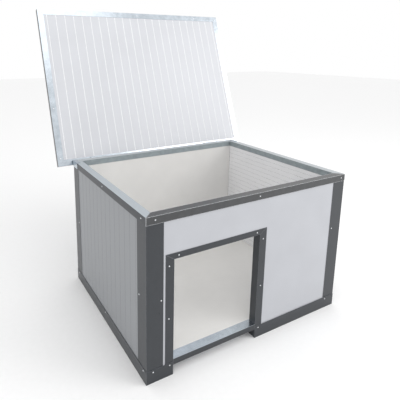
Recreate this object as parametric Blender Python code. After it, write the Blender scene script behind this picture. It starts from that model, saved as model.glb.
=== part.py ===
"""Insulated calf hutch: sandwich-panel walls and floor, folded steel trims, open doorway at the
front and a framed lid hinged along the rear, drawn with the lid open.

Metres, +Z up. The front faces -Y. X is centred on the hutch, z = 0 is the ground, and y = 0 is
the middle of the whole outline with the lid open.
"""

from math import cos, pi, radians, sin

import bmesh
import bpy
from mathutils import Matrix, Vector

MM = 0.001

# Outside of the box, over the rim and base channels
WIDTH = 1250 * MM
DEPTH = 990 * MM
HEIGHT = 810 * MM

# Folded sheet, and the layers of a wall counted inwards from its outside face
SHEET = 1.2 * MM
GAP = 0.3 * MM
WEB = 43.5 * MM
POST_FACE = SHEET + GAP
SKIN_FACE = POST_FACE + SHEET + GAP
SKIN = 0.6 * MM
RIB_DEPTH = 0.8 * MM
RIB_WIDTH = 5 * MM
RIB_PITCH = 60 * MM
FINE_PITCH = 30 * MM
SKIN_BACK = WEB - SHEET - GAP
CORE_FACE = SKIN_FACE + SKIN + RIB_DEPTH + GAP
CORE_BACK = SKIN_BACK - SKIN - RIB_DEPTH - GAP

# Trims
RIM_OUTER = 37 * MM
RIM_INNER = 34 * MM
BASE_OUTER = 68 * MM
BASE_INNER = 40 * MM
POST_LEG = 86 * MM

# Doorway
DOOR_LEFT = 142 * MM
DOOR_RIGHT = 640 * MM
DOOR_TOP = 587 * MM
JAMB_FACE = 44 * MM
HEAD_FACE = 30 * MM
TRIM_BACK = 25 * MM

# Floor
FLOOR_TOP = 80 * MM
FLOOR_UNDER = 50 * MM
SILL_DEPTH = 46 * MM
LEDGE_LEG = 28 * MM
LEDGE_SHEET = 2 * SHEET

# Lid, measured from its hinge axis as it lies closed
LID_OPEN = radians(110.2)
LID_SIDE = 93 * MM
LID_LENGTH = 1035 * MM
LID_TAIL = 28.4 * MM
LID_THICK = 31 * MM
LID_FACE = 38.5 * MM
AXIS_BEHIND = 12 * MM
AXIS_BELOW = 3.5 * MM
LID_ABOVE_AXIS = 5.5 * MM

# Hinges and corner plates
KNUCKLE_R = 5 * MM
PIN_R = 3 * MM
HINGE_LONG = 120 * MM
HINGE_AT = (180 * MM, WIDTH - 180 * MM)
PIN_PROUD = 2 * MM
CURL_TURN = 295
CURL_STEPS = 20
LEAF_SHORT = 2 * MM
PLATE_LONG = 80 * MM
PLATE_TOP = 0.45 * WEB

X, Y, Z = Vector((1, 0, 0)), Vector((0, 1, 0)), Vector((0, 0, 1))


def y_middle():
    """Half of the depth from the front rim to the rearmost corner of the open lid."""
    rear = DEPTH + AXIS_BEHIND
    rear += (LID_ABOVE_AXIS + LID_THICK) * sin(LID_OPEN) - (LID_LENGTH - LID_TAIL) * cos(LID_OPEN)
    return rear / 2


ORIGIN = Vector((-WIDTH / 2, -y_middle(), 0))

for old in list(bpy.data.objects):
    bpy.data.objects.remove(old, do_unlink=True)
parts = bpy.data.collections.new("calf_hutch")
bpy.context.scene.collection.children.link(parts)


def material(name, colour, roughness, metallic):
    mat = bpy.data.materials.new(name)
    mat.use_nodes = True
    shader = mat.node_tree.nodes["Principled BSDF"]
    shader.inputs["Base Color"].default_value = (*colour, 1)
    shader.inputs["Roughness"].default_value = roughness
    shader.inputs["Metallic"].default_value = metallic
    return mat


ANTHRACITE = material("anthracite_steel", (0.06, 0.067, 0.075), 0.35, 0.0)
ZINC = material("galvanised_steel", (0.62, 0.66, 0.7), 0.3, 1.0)
WHITE = material("white_steel_skin", (0.75, 0.76, 0.78), 0.4, 0.0)
FOAM = material("foam_core", (0.8, 0.72, 0.5), 0.9, 0.0)


def add(name, mat, mesh_data, parent=None, at=None):
    """Link one finished bmesh as a named part, in the hutch's frame or under a parent."""
    bmesh.ops.recalc_face_normals(mesh_data, faces=mesh_data.faces)
    if mesh_data.calc_volume(signed=True) < 0:
        bmesh.ops.reverse_faces(mesh_data, faces=mesh_data.faces)
    mesh = bpy.data.meshes.new(name)
    mesh_data.to_mesh(mesh)
    mesh_data.free()
    mesh.materials.append(mat)
    part = bpy.data.objects.new(name, mesh)
    parts.objects.link(part)
    if parent:
        part.parent = parent
        part.location = at or (0, 0, 0)
    else:
        part.location = ORIGIN + Vector(at or (0, 0, 0))
    return part


def fold(name, mat, section, at, across, up, along, length, start=0.0, end=0.0, parent=None):
    """A straight run of one cross-section. start and end slant its ends across the section."""
    body = bmesh.new()
    near = [body.verts.new(across * u + up * v + along * (start * u)) for u, v in section]
    face = body.faces.new(near)
    made = bmesh.ops.extrude_face_region(body, geom=[face])["geom"]
    far = {v for v in made if isinstance(v, bmesh.types.BMVert)}
    for v in far:
        u = v.co.dot(across)
        v.co += along * (length - (start + end) * u)
    return add(name, mat, body, parent, at)


def block(name, mat, low, high, parent=None):
    """A plain box between two opposite corners."""
    low, high = Vector(low), Vector(high)
    size = high - low
    body = bmesh.new()
    bmesh.ops.create_cube(body, size=1, matrix=Matrix.Translation(size / 2) @ Matrix.Diagonal((*size, 1)))
    return add(name, mat, body, parent, low)


def channel(web, outer, inner, sheet=SHEET):
    """U-section: web along u at v = 0, both legs turned down."""
    return [(0, 0), (web, 0), (web, -inner), (web - sheet, -inner), (web - sheet, -sheet),
            (sheet, -sheet), (sheet, -outer), (0, -outer)]


def angle(face, side, sheet=SHEET):
    """L-section: one leg along u, the other along v."""
    return [(0, 0), (face, 0), (face, sheet), (sheet, sheet), (sheet, side), (0, side)]


def ribbed(length, pitch):
    """Sheet section with V grooves pressed towards +v."""
    count = int((length - RIB_WIDTH * 2) / pitch)
    first = (length - (count - 1) * pitch) / 2
    half = RIB_WIDTH / 2
    face = [(0, 0)]
    for n in range(count):
        mid = first + n * pitch
        face += [(mid - half, 0), (mid, RIB_DEPTH), (mid + half, 0)]
    face.append((length, 0))
    return face + [(u, v + SKIN) for u, v in reversed(face)]


# Walls: front and rear panels run the full width, the side panels stand between them.
FOOT = SHEET + GAP
TALL = HEIGHT - 2 * FOOT
SIDE_FROM = WEB
SIDE_LONG = DEPTH - 2 * WEB
FRONT_LONG = WIDTH - 2 * SKIN_FACE


def wall_outline(inset):
    """Front wall seen from the front, with the doorway cut up from its foot."""
    left, right, top = DOOR_LEFT - FOOT, DOOR_RIGHT + FOOT, DOOR_TOP + FOOT
    far = WIDTH - inset
    high = HEIGHT - FOOT
    return [(inset, FOOT), (left, FOOT), (left, top), (right, top),
            (right, FOOT), (far, FOOT), (far, high), (inset, high)]


fold("front_wall_outer_skin", WHITE, wall_outline(SKIN_FACE), (0, SKIN_FACE, 0), X, Z, Y, SKIN)
fold("front_wall_core", FOAM, wall_outline(CORE_FACE), (0, CORE_FACE, 0), X, Z, Y,
     CORE_BACK - CORE_FACE)
fold("front_wall_inner_skin", WHITE, wall_outline(CORE_FACE), (0, SKIN_BACK - SKIN, 0), X, Z, Y,
     SKIN)

fold("rear_wall_outer_skin", WHITE, ribbed(FRONT_LONG, RIB_PITCH),
     (SKIN_FACE, DEPTH - SKIN_FACE, FOOT), X, -Y, Z, TALL)
block("rear_wall_core", FOAM, (CORE_FACE, DEPTH - CORE_BACK, FOOT),
      (WIDTH - CORE_FACE, DEPTH - CORE_FACE, HEIGHT - FOOT))
block("rear_wall_inner_skin", WHITE, (CORE_FACE, DEPTH - SKIN_BACK, FOOT),
      (WIDTH - CORE_FACE, DEPTH - SKIN_BACK + SKIN, HEIGHT - FOOT))

for side, wall_x, inward in (("left", 0, X), ("right", WIDTH, -X)):
    def at(depth, y, z):
        return (wall_x + inward.x * depth, y, z)

    fold(f"{side}_wall_outer_skin", WHITE, ribbed(SIDE_LONG, RIB_PITCH),
         at(SKIN_FACE, SIDE_FROM, FOOT), Y, inward, Z, TALL)
    core = [(0, 0), (SIDE_LONG, 0), (SIDE_LONG, CORE_BACK - CORE_FACE), (0, CORE_BACK - CORE_FACE)]
    fold(f"{side}_wall_core", FOAM, core, at(CORE_FACE, SIDE_FROM, FOOT), Y, inward, Z, TALL)
    fold(f"{side}_wall_inner_skin", WHITE, ribbed(TALL, FINE_PITCH),
         at(SKIN_BACK, SIDE_FROM, FOOT), Z, -inward, Y, SIDE_LONG)

# Corner posts: folded angles over the outer skins.
for name, x, y, face, side in (("front_left", 0, 0, X, Y), ("front_right", WIDTH, 0, -X, Y),
                               ("rear_left", 0, DEPTH, X, -Y), ("rear_right", WIDTH, DEPTH, -X, -Y)):
    corner = Vector((x, y, FOOT)) + (face + side) * POST_FACE
    fold(f"corner_post_{name}", ANTHRACITE, angle(POST_LEG, POST_LEG), corner, face, side, Z, TALL)

# Rim and base channels, mitred at the corners.
CORNERS = (("front", (0, 0), X, Y, WIDTH), ("right", (WIDTH, 0), Y, -X, DEPTH),
           ("rear", (WIDTH, DEPTH), -X, -Y, WIDTH), ("left", (0, DEPTH), -Y, X, DEPTH))
RIM = channel(WEB, RIM_OUTER, RIM_INNER)
BASE = channel(WEB, BASE_OUTER, BASE_INNER)
for name, (x, y), along, inward, length in CORNERS:
    start = Vector((x, y, 0)) + along * GAP
    fold(f"rim_channel_{name}", ANTHRACITE, RIM, start + Z * HEIGHT, inward, Z, along,
         length - 2 * GAP, 1, 1)
    if name != "front":
        fold(f"base_channel_{name}", ANTHRACITE, BASE, start, inward, -Z, along,
             length - 2 * GAP, 1, 1)
fold("base_channel_front_left", ANTHRACITE, BASE, (GAP, 0, 0), Y, -Z, X,
     DOOR_LEFT - GAP - FOOT, 1, 0)
fold("base_channel_front_right", ANTHRACITE, BASE, (DOOR_RIGHT + FOOT, 0, 0), Y, -Z, X,
     WIDTH - DOOR_RIGHT - FOOT - GAP, 0, 1)

# Doorway trims: channels over the cut edge of the front wall, mitred at the head.
TRIM_DEPTH = WEB + GAP + SHEET - POST_FACE


def door_trim(face):
    """U-section round the wall edge: u runs away from the opening, v runs inwards."""
    return [(0, 0), (face, 0), (face, SHEET), (SHEET, SHEET), (SHEET, TRIM_DEPTH - SHEET),
            (TRIM_BACK, TRIM_DEPTH - SHEET), (TRIM_BACK, TRIM_DEPTH), (0, TRIM_DEPTH)]


MITRE = HEAD_FACE / JAMB_FACE
for side, x, away in (("left", DOOR_LEFT, -X), ("right", DOOR_RIGHT, X)):
    fold(f"door_jamb_{side}", ANTHRACITE, door_trim(JAMB_FACE), (x, POST_FACE, FOOT), away, Y,
         Z, DOOR_TOP - FOOT - GAP, 0, -MITRE)
fold("door_head", ANTHRACITE, door_trim(HEAD_FACE), (DOOR_LEFT + GAP, POST_FACE, DOOR_TOP), Z, Y, X,
     DOOR_RIGHT - DOOR_LEFT - 2 * GAP, -1 / MITRE, -1 / MITRE)

# Floor: one panel with a tongue that fills the foot of the doorway.
INSIDE = WEB + GAP
TONGUE_LEFT, TONGUE_RIGHT = DOOR_LEFT + GAP, DOOR_RIGHT - GAP
BEHIND_TRIM = POST_FACE + TRIM_DEPTH + GAP


def floor_outline(front, back):
    """Floor seen from above, front being how far out the tongue reaches."""
    return [(INSIDE, BEHIND_TRIM), (TONGUE_LEFT, BEHIND_TRIM), (TONGUE_LEFT, front),
            (TONGUE_RIGHT, front), (TONGUE_RIGHT, BEHIND_TRIM), (WIDTH - INSIDE, BEHIND_TRIM),
            (WIDTH - INSIDE, back), (INSIDE, back)]


FLOOR = floor_outline(POST_FACE + SHEET + GAP, DEPTH - INSIDE)
fold("floor_under_skin", WHITE, FLOOR, (0, 0, FLOOR_UNDER), X, Y, Z, SKIN)
fold("floor_core", FOAM, FLOOR, (0, 0, FLOOR_UNDER + SKIN + GAP), X, Y, Z,
     FLOOR_TOP - FLOOR_UNDER - 2 * (SKIN + GAP))
fold("floor_top_skin", WHITE, FLOOR, (0, 0, FLOOR_TOP - SKIN), X, Y, Z, SKIN)
block("floor_edge_trim", ANTHRACITE, (TONGUE_LEFT, POST_FACE, FLOOR_UNDER),
      (TONGUE_RIGHT, POST_FACE + SHEET, FLOOR_TOP))
block("door_sill", ZINC, (TONGUE_LEFT, POST_FACE, FLOOR_TOP + GAP),
      (TONGUE_RIGHT, POST_FACE + SILL_DEPTH, FLOOR_TOP + GAP + SHEET))

# Ledges under the floor, fixed to the inside of the walls.
LEDGE_TOP = FLOOR_UNDER - GAP
LEDGE = [(0, 0), (LEDGE_LEG, 0), (LEDGE_LEG, -LEDGE_SHEET), (LEDGE_SHEET, -LEDGE_SHEET),
         (LEDGE_SHEET, -LEDGE_LEG), (0, -LEDGE_LEG)]
LEDGE_END = INSIDE + LEDGE_LEG + GAP
fold("floor_ledge_rear", ZINC, LEDGE, (INSIDE, DEPTH - INSIDE, LEDGE_TOP), -Y, Z, X,
     WIDTH - 2 * INSIDE)
for side, x, inward in (("left", INSIDE, X), ("right", WIDTH - INSIDE, -X)):
    fold(f"floor_ledge_{side}", ZINC, LEDGE, (x, BEHIND_TRIM, LEDGE_TOP), inward, Z, Y,
         DEPTH - LEDGE_END - BEHIND_TRIM)

# Plates over the rear ends of the side rims.
PLATE = [(-SHEET - GAP, SHEET + GAP), (PLATE_TOP, SHEET + GAP), (PLATE_TOP, GAP),
         (-GAP, GAP), (-GAP, -RIM_OUTER), (-SHEET - GAP, -RIM_OUTER)]
for side, x, inward in (("left", 0, X), ("right", WIDTH, -X)):
    fold(f"rear_corner_plate_{side}", ZINC, PLATE, (x, DEPTH - PLATE_LONG, HEIGHT), inward, Z, Y,
         PLATE_LONG)

# Lid, built as it lies closed under a pivot on the hinge axis, then swung open.
AXIS = Vector((0, DEPTH + AXIS_BEHIND, HEIGHT - AXIS_BELOW))
pivot = bpy.data.objects.new("lid_pivot", None)
parts.objects.link(pivot)
pivot.location = ORIGIN + AXIS
pivot.rotation_euler = (-LID_OPEN, 0, 0)
LID_LEFT, LID_RIGHT = -LID_SIDE, WIDTH + LID_SIDE
LID_FRONT, LID_REAR = LID_TAIL - LID_LENGTH, LID_TAIL
UNDER = LID_ABOVE_AXIS
OVER = UNDER + LID_THICK
LID_WIDE = LID_RIGHT - LID_LEFT
EDGE = 2 * (SHEET + GAP)

CAP_FOOT = SHEET + 2 * GAP - LID_THICK
CAP = [(0, 0), (LID_FACE, 0), (LID_FACE, -SHEET), (SHEET, -SHEET), (SHEET, CAP_FOOT), (0, CAP_FOOT)]
FRAME = [(0, 0), (LID_FACE, 0), (LID_FACE, SHEET), (POST_FACE + SHEET, SHEET),
         (POST_FACE + SHEET, LID_THICK - POST_FACE), (POST_FACE, LID_THICK - POST_FACE),
         (POST_FACE, SHEET), (0, SHEET)]
LID_CORNERS = (("front", (LID_LEFT, LID_FRONT), X, Y, LID_WIDE),
               ("right", (LID_RIGHT, LID_FRONT), Y, -X, LID_LENGTH),
               ("rear", (LID_RIGHT, LID_REAR), -X, -Y, LID_WIDE),
               ("left", (LID_LEFT, LID_REAR), -Y, X, LID_LENGTH))
for name, (x, y), along, inward, length in LID_CORNERS:
    corner = Vector((x, y, 0)) + along * GAP
    fold(f"lid_frame_{name}", ZINC, FRAME, corner + Z * UNDER, inward, Z, along, length - 2 * GAP,
         1, 1, pivot)
    fold(f"lid_cap_{name}", ANTHRACITE, CAP, corner + Z * OVER, inward, Z, along,
         length - 2 * GAP, 1, 1, pivot)

LID_SHEET = ribbed(LID_WIDE - 2 * EDGE, RIB_PITCH)
PANEL_UNDER = UNDER + SHEET + GAP
PANEL_OVER = OVER - SHEET - GAP
fold("lid_under_skin", WHITE, LID_SHEET, (LID_LEFT + EDGE, LID_FRONT + EDGE, PANEL_UNDER), X, Z, Y,
     LID_LENGTH - 2 * EDGE, parent=pivot)
fold("lid_top_skin", WHITE, LID_SHEET, (LID_LEFT + EDGE, LID_FRONT + EDGE, PANEL_OVER), X, -Z, Y,
     LID_LENGTH - 2 * EDGE, parent=pivot)
LAYER = SKIN + RIB_DEPTH + GAP
block("lid_core", FOAM, (LID_LEFT + EDGE, LID_FRONT + EDGE, PANEL_UNDER + LAYER),
      (LID_RIGHT - EDGE, LID_REAR - EDGE, PANEL_OVER - LAYER), pivot)


# Hinges: two leaves of sheet curled round one pin, side by side along it.
LEAF = KNUCKLE_R - PIN_R - GAP


def curl(first, turn):
    """Open ring of sheet in (y, z), outside then back along the inside."""
    steps = [radians(first + turn * n / CURL_STEPS) for n in range(CURL_STEPS + 1)]
    ring = [(KNUCKLE_R * cos(t), KNUCKLE_R * sin(t)) for t in steps]
    bore = KNUCKLE_R - LEAF
    return ring + [(bore * cos(t), bore * sin(t)) for t in reversed(steps)]


BACK = GAP - AXIS_BEHIND
DROP = AXIS_BELOW - RIM_OUTER
FIXED_LEAF = [(BACK, DROP), (BACK + LEAF, DROP), (BACK + LEAF, -KNUCKLE_R), *curl(-90, CURL_TURN),
              (BACK, LEAF - KNUCKLE_R)]
MOVING_LEAF = [(LID_TAIL - LEAF_SHORT, KNUCKLE_R), *curl(90, CURL_TURN),
               (LID_TAIL - LEAF_SHORT, KNUCKLE_R - LEAF)]
for side, mid in zip(("left", "right"), HINGE_AT):
    half = HINGE_LONG / 2
    fold(f"hinge_fixed_leaf_{side}", ZINC, FIXED_LEAF, AXIS + X * (mid - half), Y, Z, X, half - GAP)
    fold(f"hinge_moving_leaf_{side}", ZINC, MOVING_LEAF, X * (mid + GAP), Y, Z, X, half - GAP,
         parent=pivot)
    pin = bmesh.new()
    turn = Matrix.Translation((mid, 0, 0)) @ Matrix.Rotation(pi / 2, 4, "Y")
    bmesh.ops.create_cone(pin, cap_ends=True, segments=24, radius1=PIN_R, radius2=PIN_R,
                          depth=HINGE_LONG + 2 * PIN_PROUD, matrix=turn)
    add(f"hinge_pin_{side}", ZINC, pin, at=AXIS)
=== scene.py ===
from math import cos, radians, sin

import bmesh
import bpy
from mathutils import Matrix, Vector


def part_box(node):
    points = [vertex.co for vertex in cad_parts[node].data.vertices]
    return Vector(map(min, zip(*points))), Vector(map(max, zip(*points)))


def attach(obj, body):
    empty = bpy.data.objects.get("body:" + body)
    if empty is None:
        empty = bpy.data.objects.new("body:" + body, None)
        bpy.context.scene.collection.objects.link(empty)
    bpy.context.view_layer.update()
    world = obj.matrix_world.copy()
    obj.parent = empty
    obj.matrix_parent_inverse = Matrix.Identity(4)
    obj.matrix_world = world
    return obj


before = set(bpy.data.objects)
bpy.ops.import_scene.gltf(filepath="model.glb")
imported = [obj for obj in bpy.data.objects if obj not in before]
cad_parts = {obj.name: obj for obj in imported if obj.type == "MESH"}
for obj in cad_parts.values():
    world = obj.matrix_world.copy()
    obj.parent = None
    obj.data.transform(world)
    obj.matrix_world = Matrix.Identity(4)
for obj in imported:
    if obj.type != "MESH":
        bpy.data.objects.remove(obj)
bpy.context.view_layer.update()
NODES = [o for o in bpy.data.objects if o.type == "MESH"]

# Folded trims: posts, base channels, rims, doorway trims, floor edge and the lid's edge caps.
# Dark painted sheet steel bent on a press, drawn paler along the bends as a painted highlight. It is
# one paint in life; the rims have tones of their own here, painted light set to give the right
# brightness in this light, and the top faces of the left, rear and right rims are drawn paler as a
# painted reflection.
# TOP_FACING sets how far a face must point up to take the painted top reflection; BEND_FROM and
# BEND_FULL set where the painted edge highlight and shade begin and reach full strength.
TOP_FACING = 0.7
BEND_FROM, BEND_FULL = 0.98, 0.8


def coat(name, colour, rough, metal=0.0, grain=40.0, vary=0.12, edge=None, top=None, bump=0.02,
         reach=0.0015):
    """A sheet finish: cloudy colour, matching gloss and a slight surface texture; edge adds painted
    highlight and shade along bends and creases, top adds a painted reflection on upward faces.
    """
    mat = bpy.data.materials.new(name)
    mat.use_nodes = True
    nodes, links = mat.node_tree.nodes, mat.node_tree.links
    shader = nodes["Principled BSDF"]
    place = nodes.new("ShaderNodeTexCoord")
    noise = nodes.new("ShaderNodeTexNoise")
    noise.inputs["Scale"].default_value = grain
    noise.inputs["Detail"].default_value = 6
    links.new(place.outputs["Object"], noise.inputs["Vector"])
    ramp = nodes.new("ShaderNodeValToRGB")
    ramp.color_ramp.elements[0].position = 0.3
    ramp.color_ramp.elements[1].position = 0.7
    ramp.color_ramp.elements[0].color = (*[c * (1 - vary) for c in colour], 1)
    ramp.color_ramp.elements[1].color = (*[min(1, c * (1 + vary)) for c in colour], 1)
    links.new(noise.outputs["Fac"], ramp.inputs["Fac"])
    result = ramp.outputs["Color"]
    shape = nodes.new("ShaderNodeNewGeometry")
    # Upward faces take the top colour: a paler tone that is a painted reflection of the bright
    # surround.
    if top:
        split = nodes.new("ShaderNodeSeparateXYZ")
        links.new(shape.outputs["Normal"], split.inputs[0])
        up = nodes.new("ShaderNodeMath")
        up.operation = "GREATER_THAN"
        up.inputs[1].default_value = TOP_FACING
        links.new(split.outputs["Z"], up.inputs[0])
        mix = nodes.new("ShaderNodeMixRGB")
        mix.inputs["Color2"].default_value = (*top, 1)
        links.new(up.outputs[0], mix.inputs["Fac"])
        links.new(result, mix.inputs["Color1"])
        result = mix.outputs["Color"]
    # Along bends and rib creases the edge colour is mixed in: a pale edge colour is a painted
    # highlight, a dark one is painted shade in the creases.
    if edge:
        soft = nodes.new("ShaderNodeBevel")
        soft.inputs["Radius"].default_value = reach
        turn = nodes.new("ShaderNodeVectorMath")
        turn.operation = "DOT_PRODUCT"
        links.new(soft.outputs["Normal"], turn.inputs[0])
        links.new(shape.outputs["True Normal"], turn.inputs[1])
        bend_highlight_and_shade_mask = nodes.new("ShaderNodeMapRange")
        bend_highlight_and_shade_mask.inputs["From Min"].default_value = BEND_FROM
        bend_highlight_and_shade_mask.inputs["From Max"].default_value = BEND_FULL
        links.new(turn.outputs["Value"], bend_highlight_and_shade_mask.inputs["Value"])
        bend_highlight_and_shade_mix = nodes.new("ShaderNodeMixRGB")
        bend_highlight_and_shade_mix.inputs["Color2"].default_value = (*edge, 1)
        links.new(bend_highlight_and_shade_mask.outputs["Result"], bend_highlight_and_shade_mix.inputs["Fac"])
        links.new(result, bend_highlight_and_shade_mix.inputs["Color1"])
        result = bend_highlight_and_shade_mix.outputs["Color"]
    links.new(result, shader.inputs["Base Color"])
    gloss = nodes.new("ShaderNodeMapRange")
    gloss.inputs["To Min"].default_value = rough * 0.8
    gloss.inputs["To Max"].default_value = rough * 1.25
    links.new(noise.outputs["Fac"], gloss.inputs["Value"])
    links.new(gloss.outputs["Result"], shader.inputs["Roughness"])
    dent = nodes.new("ShaderNodeBump")
    dent.inputs["Strength"].default_value = bump
    links.new(noise.outputs["Fac"], dent.inputs["Height"])
    links.new(dent.outputs["Normal"], shader.inputs["Normal"])
    shader.inputs["Metallic"].default_value = metal
    return mat


def dress(mat, *starts):
    """Give one finish to the CAD nodes whose names begin with these words."""
    for node in NODES:
        if node.name.startswith(starts):
            node.data.materials.clear()
            node.data.materials.append(mat)


DARK = (0.028, 0.032, 0.038)
# Painted highlight along the bends of the trims.
BEND_HIGHLIGHT = (0.2, 0.21, 0.23)
dress(coat("trim paint", DARK, 0.3, vary=0.06, edge=BEND_HIGHLIGHT), "corner_post", "base_channel", "door_head",
      "door_jamb", "floor_edge", "lid_cap")
# Front rim: a slightly paler base, painted light, and a strong pale edge, a painted highlight along
# its top bend.
dress(coat("front rim paint with painted highlight", (0.05, 0.052, 0.055), 0.3, edge=(0.7, 0.72, 0.74), reach=0.003),
      "rim_channel_front")
# Left rim: the trims' dark paint, with upward faces drawn paler as a painted reflection.
dress(coat("left rim paint with painted reflection", DARK, 0.35, edge=BEND_HIGHLIGHT, top=(0.38, 0.42, 0.45)), "rim_channel_left")
# Rear and right rims: a much paler base, painted light, with upward faces drawn paler as a painted
# reflection.
dress(coat("far rim paint in painted light", (0.27, 0.31, 0.325), 0.35, edge=BEND_HIGHLIGHT, top=(0.4, 0.43, 0.45)),
      "rim_channel_rear", "rim_channel_right")

# Panels: white coated steel skins on a foam core, finely ribbed on the sides, the lid and the outside
# of the rear. They are one white in life; the tones here are painted light and shade, set group by
# group to give the right brightness in this light.
# Front wall and floor underside: a mid tone set to the front wall's brightness in this light.
dress(coat("panel skin", (0.46, 0.47, 0.5), 0.4, grain=6, vary=0.03, bump=0.01),
      "front_wall", "floor_under")
# Rear lining and floor top: a paler tone, painted light.
dress(coat("warm lining in painted light", (0.74, 0.73, 0.71), 0.4, grain=6, vary=0.03, bump=0.01),
      "rear_wall_inner", "floor_top")
# Outer ribbed skins: a dark base, painted shade, and a darker edge colour, painted shade in the rib
# creases.
dress(coat("ribbed skin", (0.27, 0.28, 0.295), 0.4, grain=6, vary=0.03,
           edge=(0.17, 0.18, 0.19), reach=0.004),
      "rear_wall_outer", "left_wall_outer", "right_wall_outer")
# Inner linings: a pale base, painted light, and a darker edge colour, painted shade in the rib
# creases.
dress(coat("lining skin", (0.84, 0.84, 0.85), 0.4, grain=6, vary=0.03,
           edge=(0.2, 0.21, 0.21), reach=0.003),
      "left_wall_inner", "right_wall_inner")
# Lid skin: a base tone set for this light, and a white edge colour, a painted highlight along the rib
# edges.
dress(coat("lid skin", (0.58, 0.59, 0.62), 0.35, grain=5, vary=0.02, edge=(1, 1, 1), reach=0.006),
      "lid_under", "lid_top")
dress(coat("poured foam", (0.75, 0.66, 0.42), 0.9, grain=90, vary=0.2, bump=0.3), "front_wall_core",
      "rear_wall_core", "left_wall_core", "right_wall_core", "floor_core", "lid_core")

# Galvanised sheet: the lid's frame, sill, hinges, ledges and rear corner plates.
# Zinc left bare, with a cloudy bloom.
dress(coat("zinc", (0.52, 0.57, 0.62), 0.22, metal=1, grain=25, vary=0.1),
      "lid_frame", "door_sill", "hinge", "floor_ledge", "rear_corner_plate")

# Rivets: the domed heads of blind rivets that hold the trims to the panels.
# The dimple in the middle of each head is where the mandrel snapped off.
left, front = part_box("rim_channel_front")[0][0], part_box("rim_channel_front")[0][1]
right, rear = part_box("rim_channel_front")[1][0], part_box("rim_channel_rear")[1][1]
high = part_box("rim_channel_front")[1][2]
width, depth = right - left, rear - front
FACE, UNDER_TRIM = 0.0, 0.0015
RIM_ROW, HEAD_ROW, BASE_ROW = high - 0.018, 0.602, 0.056
HEAD_PROFILE = ((0.0034, 0.0), (0.0032, 0.0008), (0.0025, 0.0016), (0.0014, 0.002), (0.0011, 0.0015))
SIDES = 12


def rivets(name, body, spots, dome=1.0):
    """One piece of rivet heads at (place, outward direction) pairs; dome flattens them."""
    mesh = bmesh.new()
    for at, out in spots:
        turn = out.to_track_quat("Z", "Y").to_matrix().to_4x4()
        where = Matrix.Translation(at) @ turn
        last = None
        for radius, lift in HEAD_PROFILE:
            ring = []
            for n in range(SIDES):
                a = radians(360 / SIDES * n)
                spot = Vector((radius * cos(a), radius * sin(a), lift * dome))
                ring.append(mesh.verts.new(where @ spot))
            if last:
                for n in range(SIDES):
                    far = (n + 1) % SIDES
                    mesh.faces.new((last[n], last[far], ring[far], ring[n]))
            else:
                mesh.faces.new(list(reversed(ring)))
            last = ring
        mesh.faces.new(last)
    data = bpy.data.meshes.new(name)
    mesh.to_mesh(data)
    mesh.free()
    piece = bpy.data.objects.new(name, data)
    bpy.context.scene.collection.objects.link(piece)
    data.materials.append(coat(name + " metal", (0.8, 0.82, 0.84), 0.3, metal=0.6, grain=200))
    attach(piece, body)


spots = []
AHEAD, BACK, OUTL, OUTR = (Vector(v) for v in ((0, -1, 0), (0, 1, 0), (-1, 0, 0), (1, 0, 0)))
for x, z, inset in ((0.045, RIM_ROW, FACE), (width - 0.03, RIM_ROW, FACE),
                    (width / 2, RIM_ROW, FACE), (0.076, 0.405, UNDER_TRIM),
                    (width - 0.07, 0.5, UNDER_TRIM), (0.035, BASE_ROW, FACE),
                    (0.122, BASE_ROW, FACE), (0.662, BASE_ROW, FACE),
                    (width - 0.07, BASE_ROW, FACE),
                    (0.165, HEAD_ROW, UNDER_TRIM), (0.62, HEAD_ROW, UNDER_TRIM),
                    (0.116, 0.56, UNDER_TRIM), (0.116, 0.3, UNDER_TRIM),
                    (0.662, 0.56, UNDER_TRIM), (0.662, 0.3, UNDER_TRIM)):
    spots.append((Vector((left + x, front + inset, z)), AHEAD))
for y, z, inset in ((0.045, RIM_ROW, FACE), (0.07, 0.42, UNDER_TRIM),
                    (depth - 0.07, 0.42, UNDER_TRIM), (0.03, BASE_ROW, FACE),
                    (depth - 0.04, BASE_ROW, FACE), (depth / 2, BASE_ROW, FACE),
                    (depth / 2, RIM_ROW, FACE)):
    spots.append((Vector((left + inset, front + y, z)), OUTL))
    spots.append((Vector((right - inset, front + y, z)), OUTR))
for x in (0.06, width / 2, width - 0.06):
    spots.append((Vector((left + x, rear, BASE_ROW)), BACK))
rivets("hutch_rivets", "hutch", spots)

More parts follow.
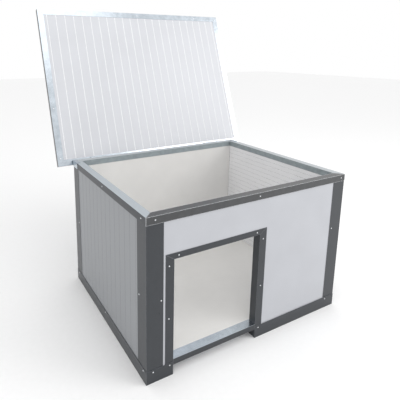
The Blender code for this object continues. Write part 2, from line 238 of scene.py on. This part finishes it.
# Lid rivets: the same heads, pressed flatter so that they clear the rim when the lid is shut.
# They sit on the underside of the lid's frame, which faces forwards while the lid is open.
OPEN = radians(110.2)
AXIS_BEHIND, AXIS_BELOW = 0.012, 0.0035
UNDER_DROP = 0.0055
EDGE_INSET = 0.02
SIDE_STEP, SIDE_COUNT = 0.32, 4
FRONT_ROW = 0.987
FLAT_DOME = 0.5
axis = Vector((0, rear + AXIS_BEHIND, high - AXIS_BELOW))
along = Vector((0, -cos(OPEN), sin(OPEN)))
out = Vector((0, -sin(OPEN), -cos(OPEN)))
lid_left, lid_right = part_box("lid_frame_front")[0][0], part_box("lid_frame_front")[1][0]
spots = []
for step in range(SIDE_COUNT):
    reach = EDGE_INSET + step * SIDE_STEP
    for x in (lid_left + EDGE_INSET, lid_right - EDGE_INSET):
        spots.append((axis + along * reach - out * UNDER_DROP + Vector((x, 0, 0)), out))
for x in (-0.45, 0, 0.5):
    spots.append((axis + along * FRONT_ROW - out * UNDER_DROP + Vector((x, 0, 0)), out))
rivets("lid_rivets", "lid", spots, FLAT_DOME)

# Studio: a plain pale floor in a white surround, with a soft key light from the right front
# and a weaker soft light from above.
bpy.ops.mesh.primitive_plane_add(size=40)
ground = bpy.context.object
ground.data.materials.append(coat("studio floor", (0.93, 0.93, 0.93), 0.8, vary=0.01, bump=0))
world = bpy.data.worlds.new("white room")
world.use_nodes = True
world.node_tree.nodes["Background"].inputs[0].default_value = (1, 1, 1, 1)
world.node_tree.nodes["Background"].inputs[1].default_value = 1.0
bpy.context.scene.world = world
for name, spot, power, size in (("key", (3.2, -3.5, 3.2), 70, 2.5), ("fill", (0, -2, 5), 30, 3)):
    lamp = bpy.data.lights.new(name, "AREA")
    lamp.energy, lamp.size = power, size
    thing = bpy.data.objects.new(name, lamp)
    thing.location = spot
    thing.rotation_euler = (Vector((0, 0, 0.5)) - Vector(spot)).to_track_quat("-Z", "Y").to_euler()
    bpy.context.scene.collection.objects.link(thing)
bpy.context.scene.view_settings.view_transform = "Standard"

# Camera: stands ahead of the hutch and to its left, above the rim, and looks down to the right.
# The lens is shifted rather than aimed at the middle of the hutch.
STAND_OFF = (-0.6904, -1.3437, 1.4822)
AIM = (78.3741, -0.0438, -28.3157)
lens = bpy.data.cameras.new("camera")
lens.sensor_width = 36
lens.lens = 35.453
lens.shift_x = 0.1172
lens.shift_y = -0.1705
camera = bpy.data.objects.new("camera", lens)
camera.location = Vector((left, front, 0)) + Vector(STAND_OFF)
camera.rotation_euler = [radians(angle) for angle in AIM]
bpy.context.scene.collection.objects.link(camera)
bpy.context.scene.camera = camera
